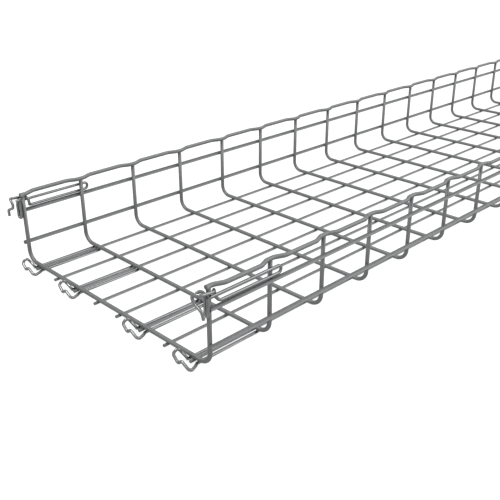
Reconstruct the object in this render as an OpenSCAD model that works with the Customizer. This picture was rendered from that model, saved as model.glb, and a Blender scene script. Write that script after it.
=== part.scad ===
// Welded wire mesh cable tray with a channel section.
// Every cross wire is bent to a U, the long wires are welded to its outside,
// and bent spring wires at one end clip onto the next length.
// X runs along the tray, away from the coupler end. Y runs across it. Z is up.

/* [Channel] */
// Clear width between the two side walls
inner_w = 400; // [180:1:620]
// Clear height over the floor's cross wires
inner_h = 105; // [85:1:160]
// Inner radius of the cross wires' bends
bend_r = 14; // [8:1:24]

/* [Mesh] */
// Number of cross wires
cross_count = 31; // [4:1:31]
// Distance between cross wires
cross_pitch = 100; // [60:1:110]
// Distance between the floor's long wires
floor_pitch = 50; // [40:1:70]
// Distance from an edge wire down to the upper side wire
edge_drop = 26.5; // [24:0.5:34]
// Distance between the side wires of one wall
side_pitch = 50.5; // [30:0.5:52]
// How far the floor's long wires reach past the end cross wires
stub = 7.5; // [4:0.5:12]
// How far the side and edge wires reach past the end cross wires
side_stub = 4; // [2:0.5:6]

/* [Wires] */
// Thickness of the cross wires
cross_d = 6; // [4:0.1:7]
// Thickness of the edge and side wires
side_d = 6; // [4:0.1:7]
// Thickness of the floor's long wires
floor_d = 4.2; // [3:0.1:5]
// Depth that crossing wires melt into each other at a weld
weld = 0.7; // [0.3:0.1:0.9]

/* [Wavy edge] */
// How far the edge wire bows outwards between two cross wires
wave_out = 6; // [2:0.5:8]
// Length of each slanted stretch of the edge wire
wave_run = 14; // [12:1:20]
// Straight length of the edge wire over each cross wire
wave_seat = 13; // [8:1:16]
// Radius of the edge wire's easy bends
wave_r = 15; // [10:1:20]

/* [Couplers] */
// Thickness of the couplers' spring wire
coupler_d = 3.9; // [3:0.1:4.2]
// Sideways distance of a floor coupler's legs from its long wire
leg_off = 7.5; // [5:0.5:9]
// Gap between two joined lengths, from end cross wire to end cross wire
joint_gap = 15; // [14:0.5:17]
// Distance between the two legs of a side coupler
leg_gap = 10; // [9:0.5:11]
// Bend radius of the couplers' wire
coupler_bend = 3.2; // [2.8:0.1:3.4]

/* [Hidden] */
// Every wire is a prism of this many sides with the round wire's cross-section
sides = 8;
arc_fn = 96;
clearance = 0.1;

function prism_r(d) = d / 2 * sqrt(2 * PI / (sides * sin(360 / sides)));
function flat_r(d) = prism_r(d) * cos(180 / sides);

wall_y = (inner_w + cross_d) / 2;
bend_axis_r = bend_r + cross_d / 2;
edge_z = cross_d / 2 + inner_h - side_d / 2;
wall_top = edge_z - side_d / 2 + weld;
side_y = wall_y + (cross_d + side_d) / 2 - weld;
floor_z = -(cross_d + floor_d) / 2 + weld;
tray_len = (cross_count - 1) * cross_pitch;
floor_count = floor((2 * (wall_y - bend_axis_r)) / floor_pitch) + 1;
side_count = floor((edge_z - edge_drop - bend_axis_r) / side_pitch) + 1;
upper_side_z = edge_z - edge_drop;
leg_shift = flat_r(cross_d) + prism_r(coupler_d) + clearance;
nose = joint_gap + (cross_d + coupler_d) / 2 + 0.5;

// Straight wire along +X
module rod(length, d) {
    rotate([90, 0, 90]) rotate(180 / sides)
        cylinder(h = length, r = prism_r(d), $fn = sides);
}

// Bent wire about the Z axis, from +X turning towards +Y
module elbow(axis_r, angle, d) {
    rotate_extrude(angle = angle, $fn = arc_fn)
        translate([axis_r, 0]) rotate(180 / sides) circle(r = prism_r(d), $fn = sides);
}

function long_wire_y(i) = (i - (floor_count - 1) / 2) * floor_pitch;

module floor_mesh() {
    run = 2 * (wall_y - bend_axis_r);
    color("silver") {
        for (i = [0 : cross_count - 1])
            translate([i * cross_pitch, -run / 2, 0]) rotate(90) rod(run, cross_d);
        for (i = [0 : floor_count - 1])
            translate([-stub, long_wire_y(i), floor_z]) rod(tray_len + 2 * stub, floor_d);
    }
}

// The bend and upright of one cross wire on the +Y side
module cross_wire_side() {
    translate([0, wall_y - bend_axis_r, bend_axis_r])
        rotate([90, 0, 90]) rotate(-90) elbow(bend_axis_r, 90, cross_d);
    translate([0, wall_y, bend_axis_r]) rotate([0, -90, 0])
        rod(wall_top - bend_axis_r, cross_d);
}

// The edge wire's line: over each cross wire it runs straight, and it bows outwards between them
function edge_line() = [
    [-side_stub, 0, 0],
    for (i = [0 : cross_count - 2]) each [
        [i * cross_pitch + wave_seat / 2, 0, 0],
        [i * cross_pitch + wave_seat / 2 + wave_run, wave_out, 0],
        [(i + 1) * cross_pitch - wave_seat / 2 - wave_run, wave_out, 0],
        [(i + 1) * cross_pitch - wave_seat / 2, 0, 0]],
    [tray_len + side_stub, 0, 0]];

module left_side_mesh() {
    color("silver") {
        for (i = [0 : cross_count - 1])
            translate([i * cross_pitch, 0, 0]) cross_wire_side();
        for (i = [0 : side_count - 1])
            translate([-side_stub, side_y, upper_side_z - i * side_pitch])
                rod(tray_len + 2 * side_stub, side_d);
        translate([0, wall_y, edge_z]) bent_wire(bent_path(edge_line(), wave_r, 1), side_d);
    }
}

module right_side_mesh() {
    mirror([0, 1, 0]) left_side_mesh();
}

// Functions that bend a wire along a list of corner points
function unit(v) = v / norm(v);
function corner_arc(a, b, c, r, n) =
    let (u = unit(a - b), v = unit(c - b), half = acos(u * v) / 2)
    let (turn = 90 - half, cut = r * tan(turn))
    let (mid = b + unit(u + v) * (r / sin(half)))
    let (start = b + u * cut, finish = b + v * cut)
    let (e1 = unit(start - mid), e2 = unit((finish - mid) - ((finish - mid) * e1) * e1))
    [for (k = [0 : n]) mid + r * (cos(2 * turn * k / n) * e1 + sin(2 * turn * k / n) * e2)];

function bent_path(points, r, n) = concat(
    [points[0]],
    [for (i = [1 : len(points) - 2]) each corner_arc(points[i - 1], points[i], points[i + 1], r, n)],
    [points[len(points) - 1]]);

function tangents(p) = [for (i = [0 : len(p) - 1])
    unit((i == 0 ? unit(p[1] - p[0]) : unit(p[i] - p[i - 1]))
       + (i == len(p) - 1 ? unit(p[i] - p[i - 1]) : unit(p[i + 1] - p[i])))];

function carried(v, t) = unit(v - (v * t) * t);
function frames(t, first, i = 0, done = []) =
    i == len(t) ? done
    : frames(t, first, i + 1, concat(done, [carried(i == 0 ? first : done[i - 1], t[i])]));

function wire_points(path, d, first) =
    let (t = tangents(path), n = frames(t, first), r = prism_r(d))
    [for (i = [0 : len(path) - 1]) for (k = [0 : sides - 1])
        let (angle = 360 * (k + 0.5) / sides)
        path[i] + r * (cos(angle) * n[i] + sin(angle) * cross(t[i], n[i]))];

module bent_wire(path, d, first = [0, 0, 1]) {
    last = len(path) - 1;
    skin = [for (i = [0 : last - 1]) for (k = [0 : sides - 1])
        let (m = (k + 1) % sides)
        [i * sides + k, (i + 1) * sides + k, (i + 1) * sides + m, i * sides + m]];
    polyhedron(wire_points(path, d, first), concat(skin,
        [[for (k = [0 : sides - 1]) k]],
        [[for (k = [sides - 1 : -1 : 0]) last * sides + k]]));
}

// A floor coupler's line about its long wire, with the first cross wire's axis at x = 0.
// Two legs run under the floor; between them the wire rises through the joint gap, humps
// over the next length's end wire, zigzags down its front and returns below it.
function floor_coupler_line() =
    let (leg_end = cross_pitch + cross_d, leg_z = -leg_shift, gap_x = -joint_gap / 2)
    bent_path([
        [leg_end, leg_off, leg_z], [gap_x + 2.5, leg_off, leg_z],
        [gap_x - 0.5, leg_off - 3, -0.5], [gap_x - 1, leg_off + 6.5, 3.5],
        [-joint_gap + 1.5, leg_off + 7.5, 11], [-nose + 0.5, leg_off + 9, 5],
        [-nose - 1, leg_off - 2.5, -2.5], [-nose, 0, 2.5], [-nose, -leg_off + 1.5, -0.5],
        [-nose, -leg_off - 8, leg_z], [gap_x - 1.5, -leg_off - 3.5, leg_z],
        [gap_x + 4.5, -leg_off, leg_z], [leg_end, -leg_off, leg_z]],
        coupler_bend, 3);

module floor_coupler() {
    color("lightgray") bent_wire(floor_coupler_line(), coupler_d);
}

// The left side coupler's line. Its hairpin end grips the second cross wire from outside.
// The lower leg wraps the first upright, runs forward, hooks round the next length's
// end upright and ends in a tail. The upper leg loops down round the side wire's end and
// turns in through the joint gap.
function side_coupler_line() =
    let (out = wall_y + leg_shift, high = upper_side_z + side_d + leg_gap)
    let (low = high - leg_gap, loop_x = cross_pitch + 14, gap_x = -joint_gap / 2 + 1)
    bent_path([
        [-nose + 2, out + 6.5, high - 20.5], [-nose + 1, out + 5, high - 11],
        [-nose + 1.5, out - 8, high - 5], [-nose + 1, out - 11.5, high + 1],
        [-nose + 0.5, out - 8, high + 7], [-joint_gap - 2, out + 1, high + 7],
        [2, out + 1, high + 5], [cross_d + 2.5, wall_y, high + 5], [cross_d + 3.5, wall_y, high - 5.5],
        [12, out, low], [loop_x, out, low], [loop_x, out, high],
        [gap_x, out + 1, high], [gap_x, out + 1, high - 25],
        [gap_x + 1.3, wall_y - 0.5, high - 25], [gap_x + 1.3, wall_y - 0.5, high + 2.5],
        [gap_x - 1.5, wall_y - 5, high + 6.5], [-joint_gap + 1.5, wall_y - 5.2, high + 4.5]],
        coupler_bend, 3);

module left_side_coupler() {
    color("lightgray") bent_wire(side_coupler_line(), coupler_d);
}

module right_side_coupler() {
    mirror([0, 1, 0]) left_side_coupler();
}

// Places the tray so that it rests on z = 0 about the middle of its length
module placed() {
    points = wire_points(floor_coupler_line(), coupler_d, [0, 0, 1]);
    front = min([for (p = points) p.x]);
    base = min([for (p = points) p.z]);
    translate([-(front + tray_len + stub) / 2, 0, -base]) children();
}

coupler_wires = [floor_count - 1, floor_count - 3, 2, 0];
module coupler_at(i) {
    translate([0, long_wire_y(coupler_wires[i]), 0]) floor_coupler();
}

placed() floor_mesh();
placed() left_side_mesh();
placed() right_side_mesh();
placed() coupler_at(0);  // floor_coupler_1
placed() coupler_at(1);  // floor_coupler_2
placed() coupler_at(2);  // floor_coupler_3
placed() coupler_at(3);  // floor_coupler_4
placed() left_side_coupler();
placed() right_side_coupler();
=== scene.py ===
import bpy
from mathutils import Matrix, Vector


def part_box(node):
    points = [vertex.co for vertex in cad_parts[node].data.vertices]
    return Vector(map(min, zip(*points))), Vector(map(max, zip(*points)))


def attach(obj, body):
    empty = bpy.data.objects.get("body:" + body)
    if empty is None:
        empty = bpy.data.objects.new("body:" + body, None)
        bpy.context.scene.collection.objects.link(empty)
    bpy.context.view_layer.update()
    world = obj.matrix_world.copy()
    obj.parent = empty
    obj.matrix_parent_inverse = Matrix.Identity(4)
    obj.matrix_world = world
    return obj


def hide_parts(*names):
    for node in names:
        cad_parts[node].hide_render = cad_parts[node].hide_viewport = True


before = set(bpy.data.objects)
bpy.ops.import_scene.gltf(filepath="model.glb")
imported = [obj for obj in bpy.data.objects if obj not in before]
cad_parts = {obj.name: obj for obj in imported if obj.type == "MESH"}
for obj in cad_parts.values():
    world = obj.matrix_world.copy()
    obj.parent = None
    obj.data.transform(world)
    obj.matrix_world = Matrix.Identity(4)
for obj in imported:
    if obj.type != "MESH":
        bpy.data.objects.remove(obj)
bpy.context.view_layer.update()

# Camera: low over the coupler end, looking along the tray and across it at about 45
# degrees, through a plain 54 mm lens. Its place is set from the first cross wire.
MM = 0.001
stub = 7.5
floor_low, floor_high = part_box("floor_mesh")
front_x = floor_low[0] / MM + stub
floor_axis = floor_high[2] / MM - 2.92
camera_data = bpy.data.cameras.new("camera")
camera_data.lens = 53.57
camera_data.sensor_width = 36.0
camera_data.clip_end = 100.0
camera = bpy.data.objects.new("camera", camera_data)
back = Vector((-0.64058, -0.64041, 0.42372)).normalized()
up = back.cross(Vector((0.70689, -0.70732, -0.00037))).normalized()
turn = Matrix((up.cross(back), up, back)).transposed().to_4x4()
eye = Vector((front_x - 486.25, -754.9, floor_axis + 493.11)) * MM
camera.matrix_world = Matrix.Translation(eye) @ turn
bpy.context.scene.collection.objects.link(camera)
bpy.context.scene.camera = camera


# Cross wires: thirty-one lengths of 6 mm drawn steel wire, each bent to a U. They carry the
# mesh, and the whole tray is dipped in zinc once it is welded, so the coat is dull and mottled.
zinc = bpy.data.node_groups.new("zinc_coat", "ShaderNodeTree")
for name, kind, value in (("Color", "NodeSocketColor", (0.3, 0.3, 0.3, 1)),
                          ("Contrast", "NodeSocketFloat", 0.12), ("Roughness", "NodeSocketFloat", 0.4),
                          ("Grain", "NodeSocketFloat", 0.1)):
    zinc.interface.new_socket(name, in_out="INPUT", socket_type=kind).default_value = value
for name, kind in (("Color", "NodeSocketColor"), ("Roughness", "NodeSocketFloat"),
                   ("Normal", "NodeSocketVector")):
    zinc.interface.new_socket(name, in_out="OUTPUT", socket_type=kind)
nodes, links = zinc.nodes, zinc.links
group_in, group_out = nodes.new("NodeGroupInput"), nodes.new("NodeGroupOutput")
place = nodes.new("ShaderNodeTexCoord")
spangle = nodes.new("ShaderNodeTexVoronoi")
spangle.inputs["Scale"].default_value = 420.0
marks = nodes.new("ShaderNodeTexNoise")
marks.inputs["Scale"].default_value = 55.0
marks.inputs["Detail"].default_value = 6.0
grain = nodes.new("ShaderNodeTexNoise")
grain.inputs["Scale"].default_value = 1600.0
grain.inputs["Detail"].default_value = 3.0
for texture in (spangle, marks, grain):
    links.new(place.outputs["Object"], texture.inputs["Vector"])
cells = nodes.new("ShaderNodeRGBToBW")
links.new(spangle.outputs["Color"], cells.inputs["Color"])
mottle = nodes.new("ShaderNodeMath")
mottle.operation = "ADD"
links.new(cells.outputs["Val"], mottle.inputs[0])
links.new(marks.outputs["Fac"], mottle.inputs[1])
centred = nodes.new("ShaderNodeMath")
centred.operation = "SUBTRACT"
centred.inputs[1].default_value = 1.0
links.new(mottle.outputs["Value"], centred.inputs[0])
swing = nodes.new("ShaderNodeMath")
swing.operation = "MULTIPLY_ADD"
swing.inputs[2].default_value = 1.0
links.new(centred.outputs["Value"], swing.inputs[0])
links.new(group_in.outputs["Contrast"], swing.inputs[1])
tint = nodes.new("ShaderNodeVectorMath")
tint.operation = "SCALE"
links.new(group_in.outputs["Color"], tint.inputs[0])
links.new(swing.outputs["Value"], tint.inputs["Scale"])
links.new(tint.outputs["Vector"], group_out.inputs["Color"])
rough = nodes.new("ShaderNodeMath")
rough.operation = "MULTIPLY"
links.new(group_in.outputs["Roughness"], rough.inputs[0])
links.new(swing.outputs["Value"], rough.inputs[1])
links.new(rough.outputs["Value"], group_out.inputs["Roughness"])
relief = nodes.new("ShaderNodeMath")
relief.operation = "MULTIPLY_ADD"
relief.inputs[1].default_value = 2.0
links.new(marks.outputs["Fac"], relief.inputs[0])
links.new(grain.outputs["Fac"], relief.inputs[2])
bump = nodes.new("ShaderNodeBump")
bump.inputs["Distance"].default_value = 0.0002
links.new(group_in.outputs["Grain"], bump.inputs["Strength"])
links.new(relief.outputs["Value"], bump.inputs["Height"])
links.new(bump.outputs["Normal"], group_out.inputs["Normal"])


def zinc_coated(name, color, contrast, roughness, grain_depth, metallic):
    """A steel whose colour, roughness and bump come from the zinc coat."""
    material = bpy.data.materials.new(name)
    material.use_nodes = True
    tree = material.node_tree
    shader = tree.nodes["Principled BSDF"]
    shader.inputs["Metallic"].default_value = metallic
    coat = tree.nodes.new("ShaderNodeGroup")
    coat.node_tree = zinc
    coat.inputs["Color"].default_value = (*color, 1)
    coat.inputs["Contrast"].default_value = contrast
    coat.inputs["Roughness"].default_value = roughness
    coat.inputs["Grain"].default_value = grain_depth
    tree.links.new(coat.outputs["Color"], shader.inputs["Base Color"])
    tree.links.new(coat.outputs["Roughness"], shader.inputs["Roughness"])
    tree.links.new(coat.outputs["Normal"], shader.inputs["Normal"])
    return material


# The bending bench: rounds the corners of a bare polyline, sweeps a round section along it,
# eases its sheared ends, and sets copies of the finished wire in an even row.
bench = bpy.data.node_groups.new("bending_bench", "GeometryNodeTree")
bench.interface.new_socket("Geometry", in_out="INPUT", socket_type="NodeSocketGeometry")
for name, kind, value in (("Radius", "NodeSocketFloat", 0.002), ("Bend Radius", "NodeSocketFloat", 0.003),
                          ("Bend Steps", "NodeSocketInt", 8), ("Around", "NodeSocketInt", 16),
                          ("Count", "NodeSocketInt", 1), ("Spacing", "NodeSocketVector", (0, 0, 0))):
    bench.interface.new_socket(name, in_out="INPUT", socket_type=kind).default_value = value
bench.interface.new_socket("Material", in_out="INPUT", socket_type="NodeSocketMaterial")
bench.interface.new_socket("Geometry", in_out="OUTPUT", socket_type="NodeSocketGeometry")
nodes, links = bench.nodes, bench.links
group_in, group_out = nodes.new("NodeGroupInput"), nodes.new("NodeGroupOutput")
to_curve = nodes.new("GeometryNodeMeshToCurve")
fillet = nodes.new("GeometryNodeFilletCurve")
fillet.mode = "POLY"
fillet.inputs["Limit Radius"].default_value = True
full = nodes.new("GeometryNodeSetCurveRadius")
full.inputs["Radius"].default_value = 1.0
ends = nodes.new("GeometryNodeCurveEndpointSelection")
ease = nodes.new("GeometryNodeSetCurveRadius")
ease.inputs["Radius"].default_value = 0.86
section = nodes.new("GeometryNodeCurvePrimitiveCircle")
sweep = nodes.new("GeometryNodeCurveToMesh")
sweep.inputs["Fill Caps"].default_value = True
row = nodes.new("GeometryNodeMeshLine")
repeat = nodes.new("GeometryNodeInstanceOnPoints")
realize = nodes.new("GeometryNodeRealizeInstances")
finish = nodes.new("GeometryNodeSetMaterial")
for source, output, target, socket in (
        (group_in, "Geometry", to_curve, "Mesh"), (to_curve, "Curve", fillet, "Curve"),
        (group_in, "Bend Radius", fillet, "Radius"), (group_in, "Bend Steps", fillet, "Count"),
        (fillet, "Curve", full, "Curve"), (full, "Curve", ease, "Curve"),
        (ends, "Selection", ease, "Selection"), (ease, "Curve", sweep, "Curve"),
        (group_in, "Radius", section, "Radius"), (group_in, "Around", section, "Resolution"),
        (section, "Curve", sweep, "Profile Curve"), (sweep, "Mesh", repeat, "Instance"),
        (group_in, "Count", row, "Count"), (group_in, "Spacing", row, "Offset"),
        (row, "Mesh", repeat, "Points"), (repeat, "Instances", realize, "Geometry"),
        (realize, "Geometry", finish, "Geometry"), (group_in, "Material", finish, "Material"),
        (finish, "Geometry", group_out, "Geometry")):
    links.new(source.outputs[output], target.inputs[socket])


def make_piece(name, points, edges, group, values, replaced):
    """Runs a node group over points and edges in metres, and keeps the result as a plain mesh."""
    guide = bpy.data.meshes.new(name + "_guide")
    guide.from_pydata(points, edges, [])
    source = bpy.data.objects.new(name + "_guide", guide)
    bpy.context.scene.collection.objects.link(source)
    modifier = source.modifiers.new(group.name, "NODES")
    modifier.node_group = group
    sockets = {s.name: s.identifier for s in group.interface.items_tree if s.in_out == "INPUT"}
    for socket, value in values.items():
        modifier[sockets[socket]] = value
    depsgraph = bpy.context.evaluated_depsgraph_get()
    mesh = bpy.data.meshes.new_from_object(source.evaluated_get(depsgraph))
    bpy.data.objects.remove(source)
    mesh.name = name
    for polygon in mesh.polygons:
        polygon.use_smooth = len(polygon.vertices) <= 4
    mesh.update()
    piece = bpy.data.objects.new(name, mesh)
    bpy.context.scene.collection.objects.link(piece)
    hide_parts(*replaced)
    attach(piece, "root")
    return piece


def bend_wires(name, lines, thickness, bend_radius, steps, material, replaced,
               count=1, spacing=(0, 0, 0)):
    """One piece of round wires, each bent along its own list of corner points in mm."""
    shear = 0.4
    points, edges = [], []
    for line in lines:
        line = [Vector(p) for p in line]
        lead = line[0] + (line[1] - line[0]).normalized() * shear
        tail = line[-1] + (line[-2] - line[-1]).normalized() * shear
        line = [line[0], lead, *line[1:-1], tail, line[-1]]
        edges += [(len(points) + k, len(points) + k + 1) for k in range(len(line) - 1)]
        points += [p * MM for p in line]
    return make_piece(name, points, edges, bench, {
        "Radius": thickness / 2 * MM, "Bend Radius": bend_radius * MM, "Bend Steps": steps, "Around": 16,
        "Count": count, "Spacing": [s * MM for s in spacing], "Material": material}, replaced)


galvanised = zinc_coated("galvanised_steel", (0.208, 0.211, 0.214), 0.2, 0.54, 0.35, 0.75)
cross_d, wall, bend_axis = 6.0, 203.0, 17.0
pitch, cross_count = 100.0, 31
edge_z = floor_axis + 105.0
weld = 0.7
cross_top = edge_z - cross_d / 2 + weld
bend_wires("cross_wires", [
    [(front_x, -wall, cross_top), (front_x, -wall, floor_axis), (front_x, wall, floor_axis),
     (front_x, wall, cross_top)]],
    cross_d, bend_axis, 12, galvanised, ("floor_mesh", "left_side_mesh", "right_side_mesh"),
    count=cross_count, spacing=(pitch, 0, 0))


# Floor wires: eight lengths of thinner 4.2 mm wire, welded under the cross wires at 50 mm
# and sheared off just past the first and last of them.
floor_d = 4.2
floor_pitch, floor_count = 50.0, 8
tray = pitch * (cross_count - 1)
floor_wire_z = floor_axis - (cross_d + floor_d) / 2 + weld
floor_y = [(i - (floor_count - 1) / 2) * floor_pitch for i in range(floor_count)]
straight, plain = 1.0, 1
bend_wires("floor_wires", [
    [(x, floor_y[0], floor_wire_z)
     for x in (front_x - stub, front_x + tray / 2, front_x + tray + stub)]],
    floor_d, straight, plain, galvanised, ("floor_mesh",),
    count=floor_count, spacing=(0, floor_pitch, 0))


# Side wires: two 6 mm wires on the outside of each wall, cut closer to the end uprights
# than the floor wires are.
side_d, side_stub, side_pitch = 6.0, 4.0, 50.5
upper_side_z = floor_axis + 78.5
side_y = wall + (cross_d + side_d) / 2 - weld
side_meshes = ("left_side_mesh", "right_side_mesh")
bend_wires("side_wires", [
    [(x, s * side_y, upper_side_z)
     for x in (front_x - side_stub, front_x + tray / 2, front_x + tray + side_stub)]
    for s in (1, -1)],
    side_d, straight, plain, galvanised, side_meshes, count=2, spacing=(0, 0, -side_pitch))


# Edge wires: a 6 mm wire on the tips of the uprights of each wall. It is pressed to a wave,
# straight over each upright and bowed outwards between them, so that no cut end is left bare.
seat, wave_run, wave_out, wave_bend = 6.5, 14.0, 6.0, 15.0
cross_x = [front_x + i * pitch for i in range(cross_count)]
edge_lines = []
for s in (1, -1):
    line = [(front_x - side_stub, s * wall, edge_z)]
    for x in cross_x[:-1]:
        line += [(x + seat, s * wall, edge_z), (x + seat + wave_run, s * (wall + wave_out), edge_z),
                 (x + pitch - seat - wave_run, s * (wall + wave_out), edge_z),
                 (x + pitch - seat, s * wall, edge_z)]
    line.append((front_x + tray + side_stub, s * wall, edge_z))
    edge_lines.append(line)
bend_wires("edge_wires", edge_lines, side_d, wave_bend, 5, galvanised, side_meshes)


# Welds: resistance welds at each of the 434 crossings. The wires are pressed into each other
# while they are hot, and a low bead of steel squeezes out around the joint.
beads = bpy.data.node_groups.new("weld_beads", "GeometryNodeTree")
beads.interface.new_socket("Geometry", in_out="INPUT", socket_type="NodeSocketGeometry")
for name, kind, value in (("Size", "NodeSocketVector", (0.003, 0.003, 0.001)),
                          ("Least", "NodeSocketFloat", 0.85), ("Most", "NodeSocketFloat", 1.1)):
    beads.interface.new_socket(name, in_out="INPUT", socket_type=kind).default_value = value
beads.interface.new_socket("Material", in_out="INPUT", socket_type="NodeSocketMaterial")
beads.interface.new_socket("Geometry", in_out="OUTPUT", socket_type="NodeSocketGeometry")
nodes, links = beads.nodes, beads.links
group_in, group_out = nodes.new("NodeGroupInput"), nodes.new("NodeGroupOutput")
bead = nodes.new("GeometryNodeMeshUVSphere")
bead.inputs["Segments"].default_value = 10
bead.inputs["Rings"].default_value = 6
bead.inputs["Radius"].default_value = 1.0
uneven = nodes.new("FunctionNodeRandomValue")
uneven.data_type = "FLOAT"
uneven.inputs["Seed"].default_value = 7
scale = nodes.new("ShaderNodeVectorMath")
scale.operation = "SCALE"
repeat = nodes.new("GeometryNodeInstanceOnPoints")
realize = nodes.new("GeometryNodeRealizeInstances")
finish = nodes.new("GeometryNodeSetMaterial")
spread = [s for s in uneven.inputs if s.enabled and s.name in ("Min", "Max")]
links.new(group_in.outputs["Least"], spread[0])
links.new(group_in.outputs["Most"], spread[1])
links.new(group_in.outputs["Size"], scale.inputs[0])
links.new([s for s in uneven.outputs if s.enabled][0], scale.inputs["Scale"])
links.new(group_in.outputs["Geometry"], repeat.inputs["Points"])
links.new(bead.outputs["Mesh"], repeat.inputs["Instance"])
links.new(scale.outputs["Vector"], repeat.inputs["Scale"])
links.new(repeat.outputs["Instances"], realize.inputs["Geometry"])
links.new(realize.outputs["Geometry"], finish.inputs["Geometry"])
links.new(group_in.outputs["Material"], finish.inputs["Material"])
links.new(finish.outputs["Geometry"], group_out.inputs["Geometry"])
contact_z = floor_axis - cross_d / 2 + weld / 2
contact_y = wall + cross_d / 2 - weld / 2
for name, spots, size, replaced in (
        ("floor_welds", [(x, y, contact_z) for x in cross_x for y in floor_y], (3.0, 2.5, 0.9),
         ("floor_mesh",)),
        ("side_welds", [(x, s * contact_y, upper_side_z - k * side_pitch)
                        for x in cross_x for s in (1, -1) for k in (0, 1)], (3.0, 1.0, 3.0), side_meshes),
        ("edge_welds", [(x, s * wall, cross_top) for x in cross_x for s in (1, -1)], (3.5, 3.3, 1.3),
         side_meshes)):
    make_piece(name, [Vector(p) * MM for p in spots], [], beads,
               {"Size": [s * MM for s in size], "Material": galvanised}, replaced)


# Floor couplers: four clips of bright 3.9 mm spring wire, each bent in one piece. Two legs run
# back under the floor, and the loop between them snaps over the next length's end wire.
spring = zinc_coated("bright_zinc_spring_steel", (0.25, 0.253, 0.256), 0.12, 0.3, 0.2, 1.0)
spring_d, spring_look, loop_bend = 3.9, 4.1, 3.8
joint, leg_off = 15.0, 7.5
spring_gap = 0.13
leg_shift = (cross_d + spring_d) / 2 + spring_gap
leg_z = floor_axis - leg_shift
tip = front_x - joint - (cross_d + spring_d) / 2 - 0.5
gap = front_x - joint / 2
leg_end = front_x + pitch + cross_d
for number, index in enumerate((7, 5, 2, 0), 1):
    y = floor_y[index]
    line = [(leg_end, leg_off, leg_z), (gap + 2.5, leg_off, leg_z),
            (gap - 0.5, leg_off - 3, floor_axis - 0.5), (gap - 1, leg_off + 6.5, floor_axis + 3.5),
            (front_x - joint + 1.5, leg_off + 7.5, floor_axis + 11),
            (tip + 0.5, leg_off + 9, floor_axis + 5),
            (tip - 1, leg_off - 2.5, floor_axis - 2.5), (tip, 0, floor_axis + 2.5),
            (tip, -leg_off + 1.5, floor_axis - 0.5), (tip, -leg_off - 8, leg_z),
            (gap - 1.5, -leg_off - 3.5, leg_z), (gap + 4.5, -leg_off, leg_z), (leg_end, -leg_off, leg_z)]
    bend_wires(f"floor_coupler_wire_{number}", [[(p[0], p[1] + y, p[2]) for p in line]],
               spring_look, loop_bend, 7, spring, (f"floor_coupler_{number}",))


# Side couplers: one clip of the same spring wire on each wall, a mirrored pair. Its hairpin
# lies along the outside of the wall, and its two hooked ends grip the next length's upright.
high = upper_side_z + side_d + 10
low = high - 10
outer = wall + leg_shift
hairpin = front_x + pitch + 14
hairpin_bend = 5.0
gap += 1
for name, s in (("left_side_coupler", 1), ("right_side_coupler", -1)):
    line = [(tip + 2, outer + 6.5, high - 20.5), (tip + 1, outer + 5, high - 11),
            (tip + 1.5, outer - 8, high - 5), (tip + 1, outer - 11.5, high + 1),
            (tip + 0.5, outer - 8, high + 7), (front_x - joint - 2, outer + 1, high + 7),
            (front_x + 2, outer + 1, high + 5), (front_x + cross_d + 2.5, wall, high + 5),
            (front_x + cross_d + 3.5, wall, high - 5.5),
            (front_x + 12, outer, low), (hairpin, outer, low), (hairpin, outer, high),
            (gap, outer + 1, high), (gap, outer + 1, high - 25),
            (gap + 1.3, wall - 0.5, high - 25), (gap + 1.3, wall - 0.5, high + 2.5),
            (gap - 1.5, wall - 5, high + 6.5), (front_x - joint + 1.5, wall - 5.2, high + 4.5)]
    bend_wires(name + "_wire", [[(p[0], s * p[1], p[2]) for p in line]],
               spring_look, hairpin_bend, 7, spring, (name,))


# Studio: a plain pale light table under an even dome, and a broad soft panel far off to the
# right that brightens the wires along the tray, and a small one over the coupler end
floor_mesh = bpy.data.meshes.new("studio_floor")
floor_mesh.from_pydata([(-30, -30, 0), (30, -30, 0), (30, 30, 0), (-30, 30, 0)], [], [(0, 1, 2, 3)])
floor = bpy.data.objects.new("studio_floor", floor_mesh)
bpy.context.scene.collection.objects.link(floor)
pale = bpy.data.materials.new("pale_light_table")
pale.use_nodes = True
table = pale.node_tree.nodes["Principled BSDF"]
table.inputs["Base Color"].default_value = (0.25, 0.25, 0.25, 1)
table.inputs["Roughness"].default_value = 0.95
table.inputs["Specular IOR Level"].default_value = 0.0
table.inputs["Emission Color"].default_value = (1, 1, 1, 1)
floor_mesh.materials.append(pale)
dome = bpy.data.worlds.new("soft_dome")
dome.use_nodes = True
sky = dome.node_tree.nodes["Background"]
sky.inputs["Color"].default_value = (1, 1, 1, 1)
bpy.context.scene.world = dome
for tree, target, thrown, seen in ((pale.node_tree, table.inputs["Emission Strength"], 0.4, 0.86),
                                   (dome.node_tree, sky.inputs["Strength"], 0.75, 1.05)):
    ray = tree.nodes.new("ShaderNodeLightPath")
    glow = tree.nodes.new("ShaderNodeMapRange")
    glow.inputs["To Min"].default_value = thrown
    glow.inputs["To Max"].default_value = seen
    tree.links.new(ray.outputs["Is Camera Ray"], glow.inputs["Value"])
    tree.links.new(glow.outputs["Result"], target)
for name, size, power, place, aim in (
        ("side_panel", 6.0, 190.0, (3.2, -3.0, 3.5), (-0.7, 0, 0)),
        ("top_panel", 0.7, 24.0, (-2.0, 0.2, 2.1), (-1.4, 0, 0))):
    light = bpy.data.lights.new(name, "AREA")
    light.size = size
    light.energy = power
    panel = bpy.data.objects.new(name, light)
    panel.location = place
    panel.rotation_euler = (Vector(aim) - panel.location).to_track_quat("-Z", "Y").to_euler()
    bpy.context.scene.collection.objects.link(panel)
bpy.context.scene.view_settings.view_transform = "Standard"
